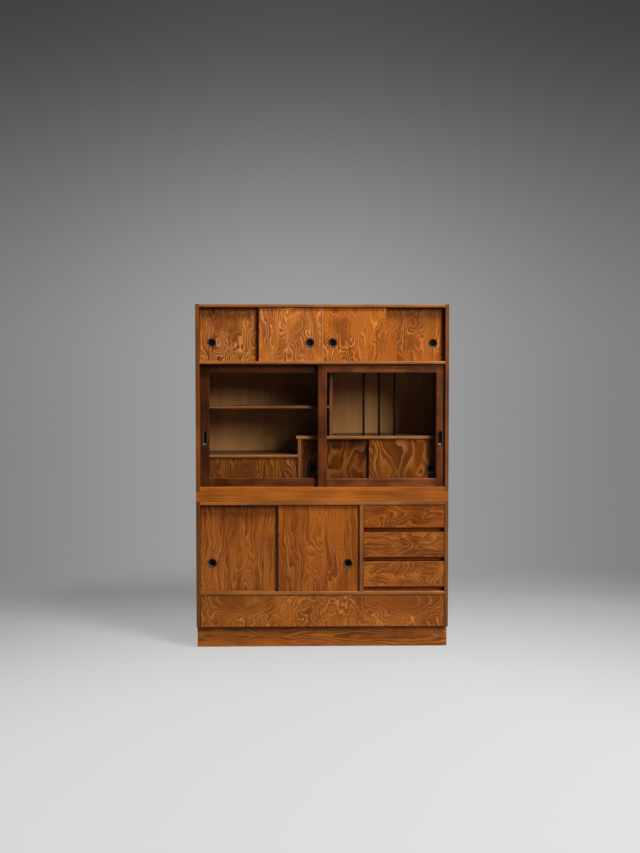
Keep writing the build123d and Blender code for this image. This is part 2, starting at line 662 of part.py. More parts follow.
def drawers():
    frames = []
    below = Z_SILL
    for number in (3, 2, 1):
        z0 = below + FINGER_GAP
        z1 = z0 + SMALL_FRONT_H - (TOP_FRONT_LESS if number == 1 else 0)
        drawer(f"drawer_{number}", BAY_X, X_IN, DRAWER_FACE, z0, z1, z0 + LIP, BOX_LENGTH)
        rail_z = below if number == 3 else below + FRONT_PLAY
        frames += runner_set(BAY_X, X_IN, DRAWER_FACE, rail_z, z0 + LIP - RUN)
        below = z1

    floor_top = PLINTH_HEIGHT + FLOOR_T
    drawer("long_drawer", -X_IN, X_IN, DRAWER_FACE, PLINTH_HEIGHT + FRONT_PLAY, Z_SILL_UNDER - FRONT_PLAY,
           floor_top + RUN, BOX_LENGTH)

    step_z = Z_BASE + FINGER_GAP
    drawer("step_drawer", -X_IN, UPRIGHT_X, STEP_FACE, step_z, Z_STEP - FRONT_PLAY, step_z + LIP,
           STEP_BOX_LENGTH)
    frames += runner_set(-X_IN, UPRIGHT_X, STEP_FACE, Z_BASE, step_z + LIP - RUN)
    save("drawer_runners", *frames)


def main():
    os.makedirs("parts", exist_ok=True)
    upper_case()
    inner_boards()
    lower_case()
    counter()
    plinth()
    panel_doors()
    sashes()
    drawers()


main()
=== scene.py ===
"""Looks of the two-part cupboard: peeled veneer, solid boards, glazed sashes, pulls and a plain studio."""

import math

import bmesh
import bpy
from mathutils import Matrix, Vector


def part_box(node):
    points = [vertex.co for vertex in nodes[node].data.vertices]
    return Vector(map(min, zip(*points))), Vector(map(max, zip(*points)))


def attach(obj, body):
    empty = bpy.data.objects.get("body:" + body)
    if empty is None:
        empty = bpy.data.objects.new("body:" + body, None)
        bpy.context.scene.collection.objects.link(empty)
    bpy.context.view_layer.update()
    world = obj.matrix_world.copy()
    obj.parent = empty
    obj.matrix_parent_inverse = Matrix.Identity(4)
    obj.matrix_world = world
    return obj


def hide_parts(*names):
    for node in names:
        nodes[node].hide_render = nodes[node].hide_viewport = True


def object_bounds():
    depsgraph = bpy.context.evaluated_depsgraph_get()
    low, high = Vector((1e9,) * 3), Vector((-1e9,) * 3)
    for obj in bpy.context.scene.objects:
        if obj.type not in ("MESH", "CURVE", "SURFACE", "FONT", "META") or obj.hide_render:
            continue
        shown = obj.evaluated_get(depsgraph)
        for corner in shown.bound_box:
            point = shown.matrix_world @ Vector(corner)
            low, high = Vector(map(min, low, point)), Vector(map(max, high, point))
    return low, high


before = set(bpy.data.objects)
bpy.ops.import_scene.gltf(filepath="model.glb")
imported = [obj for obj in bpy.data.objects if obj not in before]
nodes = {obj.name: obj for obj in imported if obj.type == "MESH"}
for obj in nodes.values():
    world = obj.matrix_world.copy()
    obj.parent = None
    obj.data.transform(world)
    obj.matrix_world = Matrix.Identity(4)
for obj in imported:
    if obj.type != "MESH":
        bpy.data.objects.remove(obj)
cad_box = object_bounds()

WELD = 1e-6  # corners this close become one


def centre_of(node):
    low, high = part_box(node)
    return [(a + b) / 2 for a, b in zip(low, high)]


def half_of(node):
    low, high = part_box(node)
    return [(b - a) / 2 for a, b in zip(low, high)]


def put_in_scene(name, data):
    thing = bpy.data.objects.new(name, data)
    bpy.context.scene.collection.objects.link(thing)
    return thing


def mesh_of(form, name):
    """A new mesh of that name from a form, which is used up."""
    mesh = bpy.data.meshes.new(name)
    form.to_mesh(mesh)
    form.free()
    return mesh


def shade(colour, amount):
    """A colour made darker or lighter by one amount, or by one each for red, green and blue."""
    amounts = amount if isinstance(amount, tuple) else (amount,) * 3
    return (*(min(1.0, channel * part) for channel, part in zip(colour, amounts)), 1)


def toned(tones, amount):
    return [shade(tone, amount) for tone in tones]


# Node trees

NOISE_SPREAD = 4.0
NOISE_DROP = -2.0


class NodeBench:
    """A node tree with short calls for the nodes that the finishes need."""

    def __init__(self, tree):
        self.tree = tree

    def add(self, kind, values=(), **settings):
        node = self.tree.nodes.new(kind)
        for name, value in settings.items():
            setattr(node, name, value)
        for key, value in dict(values).items():
            self.feed(node.inputs[key], value)
        return node

    def feed(self, socket, value):
        if isinstance(value, bpy.types.NodeSocket):
            self.tree.links.new(value, socket)
        else:
            socket.default_value = value

    def math(self, operation, *values):
        return self.add("ShaderNodeMath", enumerate(values), operation=operation).outputs[0]

    def total(self, first, *others):
        for value in others:
            first = self.math("ADD", first, value)
        return first

    def times(self, first, *others):
        for value in others:
            first = self.math("MULTIPLY", first, value)
        return first

    def split(self, vector):
        return self.add("ShaderNodeSeparateXYZ", {0: vector}).outputs

    def join(self, x, y, z):
        return self.add("ShaderNodeCombineXYZ", {0: x, 1: y, 2: z}).outputs[0]

    def noise(self, vector, seed, detail=1.0, roughness=0.5):
        """Noise about zero, mostly within one, at one cell per unit of the vector."""
        values = {"Vector": vector, "W": seed, "Scale": 1.0, "Detail": detail, "Roughness": roughness}
        node = self.add("ShaderNodeTexNoise", values, noise_dimensions="4D")
        return self.math("MULTIPLY_ADD", node.outputs[0], NOISE_SPREAD, NOISE_DROP)

    def chance(self, number):
        """A fixed random share for each number."""
        return self.add("ShaderNodeTexWhiteNoise", {"W": number}, noise_dimensions="1D").outputs[0]

    def in_cells(self, vector, cells):
        """A place in metres as a place in cells, so many to the metre."""
        values = {0: vector, 1: self.join(cells, cells, cells)}
        return self.add("ShaderNodeVectorMath", values, operation="MULTIPLY").outputs[0]

    def fade(self, value, low, high, to_low=0.0, to_high=1.0):
        """A soft ramp: what goes in at its two ends, then what comes out there."""
        values = {"Value": value, 1: low, 2: high, 3: to_low, 4: to_high}
        return self.add("ShaderNodeMapRange", values, interpolation_type="SMOOTHSTEP").outputs[0]

    def tint(self, factor, first, second, blend="MIX"):
        values = {"Factor": factor, 6: first, 7: second}
        return self.add("ShaderNodeMix", values, data_type="RGBA", blend_type=blend).outputs[2]

    def place(self):
        return self.add("ShaderNodeTexCoord").outputs["Object"]

    def placed(self, centre, turn=(0, 0, 0)):
        """Object coordinates measured from a centre, after a turn."""
        values = {"Vector": self.place(), "Location": centre, "Rotation": turn}
        return self.add("ShaderNodeMapping", values, vector_type="TEXTURE").outputs[0]

    def backward(self):
        """How far a face looks to the back: minus one on the front."""
        return self.split(self.add("ShaderNodeTexCoord").outputs["Normal"])[1]


def node_group(name, inputs, outputs):
    """A new shader group with its named sockets: the tree, its bench, its entry and its exit."""
    tree = bpy.data.node_groups.new(name, "ShaderNodeTree")
    tree.interface.new_socket("Vector", in_out="INPUT", socket_type="NodeSocketVector")
    for label, value in inputs.items():
        socket = tree.interface.new_socket(label, in_out="INPUT", socket_type="NodeSocketFloat")
        socket.default_value = value
    for label in outputs:
        tree.interface.new_socket(label, in_out="OUTPUT", socket_type="NodeSocketFloat")
    bench = NodeBench(tree)
    return tree, bench, bench.add("NodeGroupInput").outputs, bench.add("NodeGroupOutput").inputs


# Peeled veneer

RING_LIFT = 60.0  # keeps the count of rings above zero
DEPTH_CELLS = 4.0
# Noise fields: cells per metre across and along the grain, step from the piece's seed, detail.
FIBRES = (150.0, 9.0, 29.3, 2.0)
WANDER = (8.0, 8.0, 3.1, 1.0)
CLEARNESS = (7.0, 5.0, 21.1, 1.0)
BROAD_STREAKS = (34.0, 3.0, 25.7, 2.0)
FINE_STREAKS = (120.0, 4.0, 31.9, 2.0)
VENEER_PORES = (520.0, 26.0, 17.9, 2.0)
WARMTH = (16.0, 7.0, 33.4, 2.0)
# Fields whose cells come from the piece's figure: step from the seed, detail.
ROLL = (0.0, 1.0)
RAGGED = (7.7, 2.5)
MOTTLE = (12.3, 2.0)
MOTTLE_ACROSS = 9.0  # cells per metre
WANDER_REACH = 0.012
CROWDING = 1.2  # power by which the lines crowd outwards
FLAME_STEP = 0.37  # from a ring's first random share to its second
# Ramps and shares within one ring.
LINE_STOP = (0.9, 1.0, 1.0, 0.0)
CLEAR_PARTS = (-0.7, 0.6, 0.3, 1.0)
EYE_CLEARING = (0.0, 1.2, 1.0, 0.35)
LINE_VARIES = 0.4
LINE_LEAST = 0.6
GLEAM_FULL = 0.05
# A ring's random share times the first, plus the second.
GLEAM_LENGTH = (0.5, 0.2)
GLEAM_STRENGTH = (0.9, 0.5)


def peeled_veneer_group():
    """Figure of rotary-cut veneer: growth lines as contours of a rolling field, drawn out along the grain.

    The vector's x runs across the grain and its z along it, in metres from the middle of the piece.
    Lines crowd outwards from the heart; the eye and the arch are two round rises or hollows in the field,
    with a floor that is flatter and a rim that is steeper the more the flat value exceeds one.
    Fibres comb every line along the grain. Each ring starts with a pale gleam and ends in a dark line.
    """
    inputs = {
        "Seed": 0.0, "Heart": 0.0, "Side lines": 140.0, "Slant": 0.0, "Late": 1.6, "Dark": 1.0, "Pale": 0.7,
        "Roll": 2.5, "Roll across": 8.0, "Roll along": 4.0,
        "Ragged": 1.1, "Ragged across": 40.0, "Ragged along": 11.0,
        "Eye across": 0.0, "Eye along": 0.0, "Eye width": 0.04, "Eye length": 0.03, "Eye rise": 0.0,
        "Arch across": 0.0, "Arch along": 0.0, "Arch width": 0.03, "Arch length": 0.1, "Arch rise": 0.0,
        "Flat": 1.0, "Calm": 0.0, "Eye shade": 0.0,
        "Mottle": 1.0, "Mottle along": 4.0, "Fibre": 0.004, "Streaks": 0.45,
    }
    outputs = ("Line", "Gleam", "Ring", "Patch", "Pore", "Warmth")
    tree, bench, given, result = node_group("peeled_veneer", inputs, outputs)
    across, depth, upward = bench.split(given["Vector"])

    def field(x, z, x_cells, z_cells, seed_step, detail):
        point = bench.join(bench.times(x, x_cells), bench.times(depth, DEPTH_CELLS), bench.times(z, z_cells))
        return bench.noise(point, bench.total(given["Seed"], seed_step), detail)

    along = bench.total(upward, bench.times(field(across, upward, *FIBRES), given["Fibre"]))
    start = bench.total(across, bench.times(field(across, along, *WANDER), WANDER_REACH))

    def swell(name):
        squares = []
        for here, middle, size in ((start, "across", "width"), (along, "along", "length")):
            offset = bench.math("SUBTRACT", here, given[f"{name} {middle}"])
            share = bench.math("DIVIDE", offset, given[f"{name} {size}"])
            squares.append(bench.times(share, share))
        reach = bench.math("POWER", bench.total(*squares), given["Flat"])
        return bench.math("EXPONENT", bench.times(reach, -1.0))

    roll = field(start, along, given["Roll across"], given["Roll along"], *ROLL)
    ragged = field(start, along, given["Ragged across"], given["Ragged along"], *RAGGED)
    unrest = bench.total(bench.times(roll, given["Roll"]), bench.times(ragged, given["Ragged"]))
    from_heart = bench.math("ABSOLUTE", bench.math("SUBTRACT", start, given["Heart"]))
    sides = bench.times(bench.math("POWER", from_heart, CROWDING), given["Side lines"])
    eye, arch = swell("Eye"), swell("Arch")
    inside = bench.math("MINIMUM", bench.total(eye, arch), 1.0)
    restless = bench.math("SUBTRACT", 1.0, bench.times(inside, given["Calm"]))
    rises = bench.total(bench.times(eye, given["Eye rise"]), bench.times(arch, given["Arch rise"]))
    slant = bench.times(along, given["Slant"])
    height = bench.total(bench.times(unrest, restless), sides, slant, rises, RING_LIFT)

    turn = bench.math("FRACT", height)
    number = bench.total(bench.math("FLOOR", height), given["Seed"])
    ring = bench.chance(number)
    flame = bench.chance(bench.total(number, FLAME_STEP))
    shaded = bench.times(inside, given["Eye shade"])
    clear = bench.fade(field(start, along, *CLEARNESS), *CLEAR_PARTS)
    clear = bench.times(clear, bench.fade(shaded, *EYE_CLEARING))

    late = bench.times(bench.math("POWER", turn, given["Late"]), bench.fade(turn, *LINE_STOP))
    uneven = bench.total(bench.times(ring, LINE_VARIES), LINE_LEAST)
    bench.feed(result["Line"], bench.times(late, clear, given["Dark"], uneven))
    gleam = bench.fade(turn, GLEAM_FULL, bench.math("MULTIPLY_ADD", flame, *GLEAM_LENGTH), 1.0, 0.0)
    uneven = bench.math("MULTIPLY_ADD", flame, *GLEAM_STRENGTH)
    bench.feed(result["Gleam"], bench.times(gleam, uneven, clear, given["Pale"]))
    bench.feed(result["Ring"], ring)
    streak = bench.total(field(start, along, *BROAD_STREAKS), field(start, along, *FINE_STREAKS))
    cloud = field(start, along, MOTTLE_ACROSS, given["Mottle along"], *MOTTLE)
    patch = bench.total(cloud, bench.times(streak, given["Streaks"]))
    bench.feed(result["Patch"], bench.total(bench.times(patch, given["Mottle"]), shaded))
    bench.feed(result["Pore"], field(start, along, *VENEER_PORES))
    bench.feed(result["Warmth"], field(start, along, *WARMTH))
    return tree


# Straight grain

# Noise fields: cells per metre across and along the board, step from its seed, detail.
SWAY = (9.0, 1.6, 0.0, 2.0)
GRAIN_STREAKS = (160.0, 3.0, 5.3, 3.0)
GRAIN_PORES = (900.0, 30.0, 14.7, 2.0)
CLOUDS = (9.1, 2.0)  # step and detail only, because each board says how long its clouds are
CLOUDS_ACROSS = 12.0
RING_TILT = 0.35  # how far the growth lines lean in the board's depth
LINE_RISE = (0.2, 0.85)
LINE_FALL = (0.88, 1.0, 1.0, 0.0)
LINE_STRENGTH = (0.9, 0.2)  # a ring's random share times the first, plus the second


def straight_grain_group():
    """Long lines and streaks of a solid board along the vector's z, in metres."""
    inputs = {"Seed": 0.0, "Lines": 140.0, "Sway": 1.6, "Cloud along": 4.0}
    tree, bench, given, result = node_group("straight_grain", inputs, ("Line", "Streak", "Patch", "Pore"))
    x, y, z = bench.split(given["Vector"])

    def field(cross, length, seed_step, detail):
        point = bench.join(bench.times(x, cross), bench.times(y, cross), bench.times(z, length))
        return bench.noise(point, bench.total(given["Seed"], seed_step), detail)

    sway = bench.times(field(*SWAY), given["Sway"])
    plane = bench.times(bench.total(x, bench.times(y, RING_TILT)), given["Lines"])
    height = bench.total(plane, sway, RING_LIFT)
    turn = bench.math("FRACT", height)
    ring = bench.chance(bench.total(bench.math("FLOOR", height), given["Seed"]))
    line = bench.times(bench.fade(turn, *LINE_RISE), bench.fade(turn, *LINE_FALL))
    bench.feed(result["Line"], bench.times(line, bench.math("MULTIPLY_ADD", ring, *LINE_STRENGTH)))
    bench.feed(result["Streak"], field(*GRAIN_STREAKS))
    bench.feed(result["Patch"], field(CLOUDS_ACROSS, given["Cloud along"], *CLOUDS))
    bench.feed(result["Pore"], field(*GRAIN_PORES))
    return tree


# Finishes

VENEER = peeled_veneer_group()
GRAIN = straight_grain_group()
GRAIN_TURNS = {"Z": (0, 0, 0), "X": (0, math.pi / 2, 0), "Y": (math.pi / 2, 0, 0)}

VENEER_PALE = (0.70, 0.270, 0.065, 1)
VENEER_MID = (0.46, 0.130, 0.017, 1)
VENEER_DEEP = (0.24, 0.060, 0.006, 1)
VENEER_LINE = (0.105, 0.024, 0.002, 1)
GOLDEN_DRIFT = (1.04, 1.04, 0.80, 1)
RUSSET_DRIFT = (0.98, 0.92, 1.10, 1)
# Light and dark tone of each kind of board.
CASE = ((0.315, 0.114, 0.031, 1), (0.185, 0.058, 0.011, 1))
SIDE = ((0.200, 0.076, 0.024, 1), (0.115, 0.038, 0.009, 1))
COUNTER = ((0.38, 0.110, 0.016, 1), (0.21, 0.053, 0.004, 1))
SASH = ((0.165, 0.046, 0.012, 1), (0.048, 0.010, 0.002, 1))
PLY = ((0.72, 0.345, 0.130, 1), (0.54, 0.237, 0.080, 1))
STAIN = ((0.008, 0.005, 0.003, 1), (0.004, 0.0025, 0.0015, 1))
GLASS = (0.97, 0.985, 0.975, 1)

LACQUER_GLOSS = 0.16
LACQUER_SMOOTHER = 0.04
LACQUER_ROUGHER = 0.06
GRAIN_BUMP = {"Distance": 0.00025, "Strength": 0.35}
RUB_WIDTH = 0.006
RUB_CELLS = 40.0
RUB_STEP = 2.2
RUB_DETAIL = 2.0
RUB_PATCHES = (-0.8, 0.8)
RUB_DEPTH = 0.35
RUB_SHADE = 1.3

VENEER_ROUGHNESS = 0.27
VENEER_PORE_BUMP = 0.15
RING_SHARE = 0.25
PATCH_SHARE = (-0.8, 0.9, -0.12, 0.85)
VENEER_PORE_SHARE = (0.35, 1.0, 0.0, 0.35)
VENEER_PORE_SHADE = 0.8
WARMTH_SHARE = (-0.7, 0.7)
VENEER_BEHIND = (-0.8, -0.5)

BOARD_PORE_BUMP = 0.3
STREAK_SHARE = (-0.8, 0.8, 0.15, 0.65)
BOARD_PORE_SHARE = (0.4, 1.0, 0.0, 0.35)
BOARD_PORE_SHADE = 0.45
CLOUD_RANGE = (-0.8, 0.8)
BOARD_BEHIND = (-0.75, -0.3)

# Noise on metal: cells per metre, then seed, detail and roughness.
METAL_CLOUD_CELLS = 130.0
METAL_CLOUD = (3.0, 4.0, 0.6)
METAL_FINE_CELLS = 900.0
METAL_FINE = (8.0, 2.0)
METAL_WORN = (-0.4, 0.9)
METAL_DULLER = 0.1
METAL_BRIGHTER = 0.08
METAL_BUMP = {"Distance": 0.0002, "Strength": 0.08}
# Metals: dark and worn colour, metallic share, roughness and gloss.
METALS = {
    "bronzed_ring": ((0.036, 0.021, 0.011, 1), (0.095, 0.060, 0.034, 1), 0.15, 0.52, 0.16),
    "bronzed_plate": ((0.018, 0.010, 0.006, 1), (0.042, 0.026, 0.016, 1), 0.2, 0.5, 0.3),
    # the sash pulls' sloping hollow ends: worn metal, lightened further as a painted highlight
    "worn_highlit_slope": ((0.070, 0.056, 0.042, 1), (0.170, 0.140, 0.110, 1), 0.35, 0.42, 0.3),
    "blackened_well": ((0.003, 0.0025, 0.002, 1), (0.007, 0.006, 0.005, 1), 0.0, 0.8, 0.05),
    "nail_steel": ((0.11, 0.10, 0.09, 1), (0.26, 0.24, 0.22, 1), 0.9, 0.42, 0.3),
}


def new_material(name):
    material = bpy.data.materials.new(name)
    material.use_nodes = True
    return material, NodeBench(material.node_tree), material.node_tree.nodes["Principled BSDF"]


def lacquer(bench, shader, colour, height, roughness, wear, gloss=LACQUER_GLOSS):
    """Satin lacquer over wood: its gloss changes a little, and the grain just shows in it."""
    smooth, rough = roughness - LACQUER_SMOOTHER, roughness + LACQUER_ROUGHER
    bench.feed(shader.inputs["Base Color"], colour)
    bench.feed(shader.inputs["Specular IOR Level"], gloss)
    bench.feed(shader.inputs["Roughness"], bench.fade(wear, -1.0, 1.0, smooth, rough))
    bump = bench.add("ShaderNodeBump", {"Height": height, **GRAIN_BUMP})
    bench.feed(shader.inputs["Normal"], bump.outputs[0])


def edge_rub(bench, centre, half, seed):
    """How far a face is rubbed near its rim: patchy, and gone a few millimetres in."""
    where = bench.placed(centre)
    x, _, z = bench.split(where)
    gap_x = bench.math("SUBTRACT", half[0], bench.math("ABSOLUTE", x))
    gap_z = bench.math("SUBTRACT", half[2], bench.math("ABSOLUTE", z))
    near = bench.fade(bench.math("MINIMUM", gap_x, gap_z), 0.0, RUB_WIDTH, 1.0, 0.0)
    patchy = bench.noise(bench.in_cells(where, RUB_CELLS), seed + RUB_STEP, RUB_DETAIL)
    return bench.times(near, bench.fade(patchy, *RUB_PATCHES))


def figured_veneer(node, grain, seed, tone, figure):
    """Lacquered peeled veneer on the face of one door or drawer, plain wood on its edges and back."""
    centre = centre_of(node)
    material, bench, shader = new_material(f"veneer_{node}")
    values = {"Vector": bench.placed(centre, GRAIN_TURNS[grain]), "Seed": seed}
    values.update({name.replace("_", " ").capitalize(): value for name, value in figure.items()})
    group = bench.add("ShaderNodeGroup", values, node_tree=VENEER)
    line, gleam, ring, patch, pore, warmth = group.outputs
    deepest = shade(VENEER_LINE, tone)
    ground = bench.total(bench.times(ring, RING_SHARE), bench.fade(patch, *PATCH_SHARE))
    colour = bench.tint(ground, shade(VENEER_MID, tone), shade(VENEER_DEEP, tone))
    colour = bench.tint(gleam, colour, shade(VENEER_PALE, tone))
    colour = bench.tint(line, colour, deepest)
    colour = bench.tint(bench.fade(pore, *VENEER_PORE_SHARE), colour, shade(deepest, VENEER_PORE_SHADE))
    drift = bench.tint(bench.fade(warmth, *WARMTH_SHARE), GOLDEN_DRIFT, RUSSET_DRIFT)
    colour = bench.tint(1.0, colour, drift, "MULTIPLY")
    rubbed = bench.times(edge_rub(bench, centre, half_of(node), seed), RUB_DEPTH)
    colour = bench.tint(rubbed, colour, shade(deepest, RUB_SHADE))
    behind = bench.fade(bench.backward(), *VENEER_BEHIND)
    colour = bench.tint(behind, colour, bench.tint(ring, *CASE))
    height = bench.total(line, bench.times(pore, VENEER_PORE_BUMP))
    lacquer(bench, shader, colour, height, VENEER_ROUGHNESS, patch)
    return material


def solid_board(name, grain, tones, seed, centre, lines=140.0, roughness=0.32, line_depth=0.55,
                cloudy=0.3, cloud_along=4.0, faces=1.0, gloss=LACQUER_GLOSS):
    """Straight-grained board under the same lacquer, in slow clouds.

    Faces other than its front edge may be darker or lighter: painted shade on shelf tops, or the plain tone
    kept on the faces of a side whose front edge is painted lighter or darker.
    """
    light, dark = tones
    material, bench, shader = new_material(name)
    values = {"Vector": bench.placed(centre, GRAIN_TURNS[grain]), "Seed": seed, "Lines": lines,
              "Cloud along": cloud_along}
    line, streak, patch, pore = bench.add("ShaderNodeGroup", values, node_tree=GRAIN).outputs
    colour = bench.tint(bench.fade(streak, *STREAK_SHARE), light, dark)
    colour = bench.tint(bench.times(line, line_depth), colour, dark)
    colour = bench.tint(bench.fade(pore, *BOARD_PORE_SHARE), colour, shade(dark, BOARD_PORE_SHADE))
    amount = bench.fade(patch, *CLOUD_RANGE, 1.0 + cloudy, 1.0 - cloudy)
    # painted shade or light on the faces behind the front edge
    if faces != 1.0:
        amount = bench.times(amount, bench.fade(bench.backward(), *BOARD_BEHIND, 1.0, faces))
    colour = bench.add("ShaderNodeVectorMath", {0: colour, "Scale": amount}, operation="SCALE").outputs[0]
    height = bench.total(line, bench.times(pore, BOARD_PORE_BUMP))
    lacquer(bench, shader, colour, height, roughness, patch, gloss)
    return material


def clear_glass():
    """Thin window glass that lets the lamps reach what stands behind it."""
    material, bench, shader = new_material("clear_glass")
    looks = {"Base Color": GLASS, "Roughness": 0.0, "IOR": 1.45, "Transmission Weight": 1.0}
    for name, value in looks.items():
        bench.feed(shader.inputs[name], value)
    rays = bench.add("ShaderNodeLightPath").outputs
    passing = bench.math("MAXIMUM", rays["Is Shadow Ray"], rays["Is Diffuse Ray"])
    through = bench.add("ShaderNodeBsdfTransparent", {"Color": GLASS}).outputs[0]
    mix = bench.add("ShaderNodeMixShader", {0: passing, 1: shader.outputs[0], 2: through})
    bench.feed(material.node_tree.nodes["Material Output"].inputs["Surface"], mix.outputs[0])
    return material


def old_metal(name):
    """Patinated sheet metal, rubbed a little brighter in places."""
    dark, worn, metallic, roughness, gloss = METALS[name]
    material, bench, shader = new_material(name)
    where = bench.place()
    cloud = bench.noise(bench.in_cells(where, METAL_CLOUD_CELLS), *METAL_CLOUD)
    fine = bench.noise(bench.in_cells(where, METAL_FINE_CELLS), *METAL_FINE)
    dull, bright = roughness + METAL_DULLER, roughness - METAL_BRIGHTER
    bench.feed(shader.inputs["Base Color"], bench.tint(bench.fade(cloud, *METAL_WORN), dark, worn))
    bench.feed(shader.inputs["Metallic"], metallic)
    bench.feed(shader.inputs["Specular IOR Level"], gloss)
    bench.feed(shader.inputs["Roughness"], bench.fade(cloud, -1.0, 1.0, dull, bright))
    bump = bench.add("ShaderNodeBump", {"Height": bench.total(cloud, fine), **METAL_BUMP})
    bench.feed(shader.inputs["Normal"], bump.outputs[0])
    return material


def dress(node, material):
    """Gives a CAD node its finish."""
    slots = nodes[node].data.materials
    slots.clear()
    slots.append(material)


# Boards: the grain's direction, the two tones, other looks, and the nodes that have them.

SASH_LOOKS = {"lines": 90.0, "cloudy": 0.42, "cloud_along": 10.0}
PANEL_LOOKS = {"lines": 14.0, "roughness": 0.6, "line_depth": 0.2, "cloudy": 0.1}
BOX_LOOKS = {"lines": 28.0, "roughness": 0.6, "line_depth": 0.3, "cloudy": 0.1}
BOARDS = (
    ("Z", toned(SIDE, (1.0, 0.8, 0.62)), {}, ("upper_left_side",)),
    # painted shade: the lower left side's front edge is a darker copy, with its faces lifted back near the
    # plain tone
    ("Z", toned(SIDE, (0.72, 0.57, 0.42)), {"faces": 1.35}, ("lower_left_side",)),
    ("Z", SIDE, {}, ("centre_partition", "step_upright")),
    # painted shade on the upper right side, a darker copy all over; painted light on the lower right side's
    # front edge, a lighter copy, with its faces brought back near the plain tone
    ("Z", toned(SIDE, (0.75, 0.62, 0.50)), {}, ("upper_right_side",)),
    ("Z", toned(SIDE, (1.08, 1.02, 0.88)), {"faces": 0.88}, ("lower_right_side",)),
    ("Z", toned(CASE, 0.8), {}, ("drawer_partition",)),
    # painted highlight: the divider is a lighter copy of the case wood, standing for its lit front edge
    ("Z", toned(CASE, 1.35), {}, ("top_divider",)),
    ("X", toned(CASE, (0.80, 0.88, 1.0)), {}, ("upper_top_board",)),
    ("X", CASE, {}, (
        "upper_middle_board", "lower_top_board", "lower_sill", "counter_bearers", "counter_top")),
    # painted shade: the left shelf's top and bottom faces are darker than its front edge
    ("X", SIDE, {"faces": 0.5}, ("left_shelf",)),
    ("X", toned(COUNTER, (1.2, 0.95, 0.7)), {}, ("drawer_runners",)),
    # painted light and shade: the step and raised shelves' front edges are a lighter copy of the side wood,
    # and their top and bottom faces a darker one
    ("X", toned(SIDE, 1.6), {"faces": 0.26}, ("step_shelf", "raised_shelf")),
    ("Y", SIDE, {}, ("plinth_returns",)),
    ("X", COUNTER, {"lines": 70.0}, ("counter_front_rail", "upper_base_board")),
    ("Z", toned(SASH, (0.45, 0.42, 0.36)), SASH_LOOKS, ("left_sash_stiles",)),
    ("X", toned(SASH, 0.72), SASH_LOOKS, ("left_sash_rails",)),
    ("Z", toned(SASH, 0.82), SASH_LOOKS, ("right_sash_stiles",)),
    ("X", toned(SASH, (1.0, 1.05, 1.2)), SASH_LOOKS, ("right_sash_rails",)),
    ("Z", PLY, PANEL_LOOKS, ("upper_back_panel", "lower_back_panel")),
    ("X", toned(PLY, 0.66), BOX_LOOKS, (
        "lower_floor_board", "drawer_1_box", "drawer_2_box", "drawer_3_box", "long_drawer_box",
        "step_drawer_box")),
    ("Z", STAIN, {"roughness": 0.8, "gloss": 0.02}, ("tray_dividers",)),
)
SEED_STEP = 2.7  # from one board to the next

# Veneered fronts: grain, seed, tone and figure.

TOP_FIGURE = {
    "side_lines": 105.0, "late": 1.8, "roll": 3.6, "roll_across": 10.0, "roll_along": 5.0, "ragged": 1.2,
    "ragged_across": 28.0, "ragged_along": 11.0, "calm": 0.6, "mottle": 1.35, "fibre": 0.005, "flat": 1.5,
    "eye_shade": 1.1, "eye_rise": -3.2, "eye_width": 0.054, "eye_length": 0.038,
    "arch_rise": 1.8, "arch_width": 0.028, "arch_length": 0.038,
}
TALL_FIGURE = {
    "side_lines": 90.0, "late": 3.6, "pale": 0.36, "dark": 1.3, "roll": 2.6, "roll_across": 6.0,
    "roll_along": 1.9, "ragged": 1.0, "ragged_across": 24.0, "ragged_along": 7.0, "mottle": 1.2,
    "streaks": 0.8, "fibre": 0.006, "eye_rise": 3.0, "eye_width": 0.035, "eye_length": 0.09,
    "arch_rise": 8.0, "arch_width": 0.036, "arch_length": 0.16,
}
INNER_FIGURE = {
    "side_lines": 26.0, "late": 1.2, "pale": 1.05, "dark": 0.9, "roll": 2.4, "roll_across": 7.0,
    "roll_along": 3.0, "ragged": 0.6, "ragged_across": 20.0, "ragged_along": 10.0,
}
LEVEL_FIGURE = {
    "side_lines": 70.0, "late": 1.6, "pale": 0.42, "dark": 0.9, "roll": 2.8, "roll_across": 8.0,
    "roll_along": 5.0, "ragged": 0.8, "ragged_across": 26.0, "ragged_along": 12.0, "mottle": 1.8,
    "mottle_along": 10.0,
}
